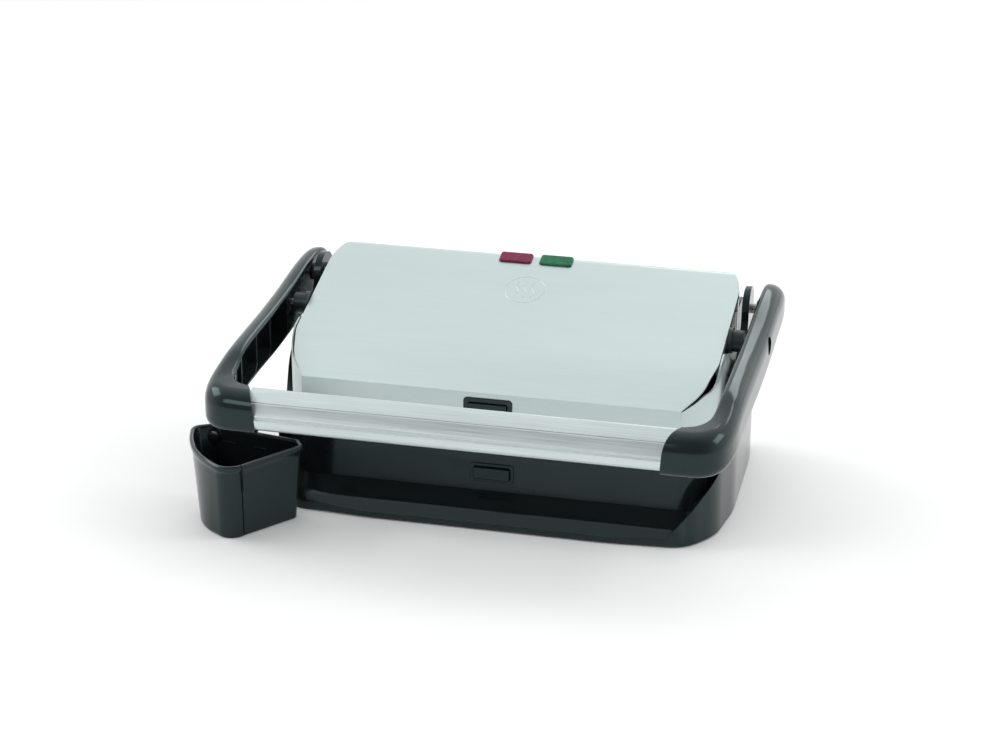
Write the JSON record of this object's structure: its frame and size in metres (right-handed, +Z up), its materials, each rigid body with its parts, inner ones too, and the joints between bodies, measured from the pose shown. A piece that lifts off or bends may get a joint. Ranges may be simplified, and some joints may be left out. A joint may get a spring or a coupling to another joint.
{
  "type": "panini press",
  "caption": "Contact grill with ribbed plates, a floating lid carried between two handle arms, release buttons, lamps and a loose drip cup.",
  "frame": {"origin": "on the table, under the middle of the bounding box of press and cup", "axes": "+X to the right along the grip bar, +Y to the back (hinge side), +Z up"},
  "size_m": [0.4108, 0.287, 0.1569],
  "materials": {
    "gloss_black": "polished moulded black",
    "dark_plastic": "satin black",
    "rubber": "matte",
    "nonstick_cast": "non-stick coating over a casting",
    "element_steel": "sheathed steel",
    "pan_aluminium": "mill finish",
    "zinc_steel": "zinc plated",
    "brushed_steel": "fine brushing across the press",
    "bar_aluminium": "satin anodised, fluted",
    "nylon": "glass-filled nylon",
    "red_lens": "tinted clear plastic",
    "green_lens": "tinted clear plastic",
    "lamp_glass": "clear",
    "wire_sleeve": "braided sleeve"
  },
  "bodies": {
    "base": {"base_shell": "gloss_black", "lower_housing": "gloss_black", "bottom_cover": "dark_plastic", "bottom_screws": "zinc_steel", "rubber_feet": "rubber", "storage_feet": "rubber", "lower_plate": "nonstick_cast", "lower_element": "element_steel", "lower_reflector": "pan_aluminium", "lower_element_clips": "element_steel", "lower_thermostat": "dark_plastic", "thermal_fuse": "element_steel", "terminal_block": "dark_plastic", "inlet_gland": "dark_plastic", "base_wiring": "wire_sleeve", "lower_bezel": "gloss_black", "lower_button_spring": "element_steel", "hinge_pins": "zinc_steel"},
    "lower_release": {"lower_button": "gloss_black", "lower_latch": "element_steel"},
    "handle": {"right_arm": "gloss_black", "left_arm": "gloss_black", "grip_bar": "bar_aluminium", "bar_plugs": "nylon", "hinge_bushes": "nylon", "float_screws": "zinc_steel"},
    "lid": {"lid_cover": "brushed_steel", "trim_band": "brushed_steel", "lid_housing": "gloss_black", "lid_rear_cover": "dark_plastic", "upper_plate": "nonstick_cast", "upper_plate_frame": "dark_plastic", "upper_element": "element_steel", "upper_reflector": "pan_aluminium", "upper_element_clips": "element_steel", "upper_thermostat": "dark_plastic", "upper_bezel": "gloss_black", "upper_button_spring": "element_steel", "float_bosses": "nylon", "red_lens": "red_lens", "green_lens": "green_lens", "lamp_holder": "dark_plastic", "indicator_lamps": "lamp_glass", "lid_screws": "zinc_steel", "lid_wiring": "wire_sleeve"},
    "upper_release": {"upper_button": "gloss_black", "upper_latch": "element_steel"},
    "cup": {"drip_cup": "gloss_black"}
  },
  "joints": [
    {"name": "handle_hinge", "type": "hinge", "parent": "base", "child": "handle", "pos_m": [0.01545, 0.0795, 0.135], "axis": [-1, 0, 0], "range_deg": [0, 100]},
    {"name": "lid_float", "type": "hinge", "parent": "handle", "child": "lid", "pos_m": [0.01545, 0.0295, 0.1265], "axis": [-1, 0, 0], "range_deg": [-2.5, 2.5]},
    {"name": "upper_button_press", "type": "slide", "parent": "lid", "child": "upper_release", "axis": [0, 1, 0], "range_m": [0, 0.0025], "stiffness_N_per_m": 400, "springref_m": -0.0015, "deforming": ["upper_button_spring"]},
    {"name": "lower_button_press", "type": "slide", "parent": "base", "child": "lower_release", "axis": [0, 1, 0], "range_m": [0, 0.0025], "stiffness_N_per_m": 400, "springref_m": -0.0015, "deforming": ["lower_button_spring"]},
    {"name": "cup_pull", "type": "slide", "parent": "base", "child": "cup", "axis": [0, -1, 0], "range_m": [0, 0.12]}
  ]
}
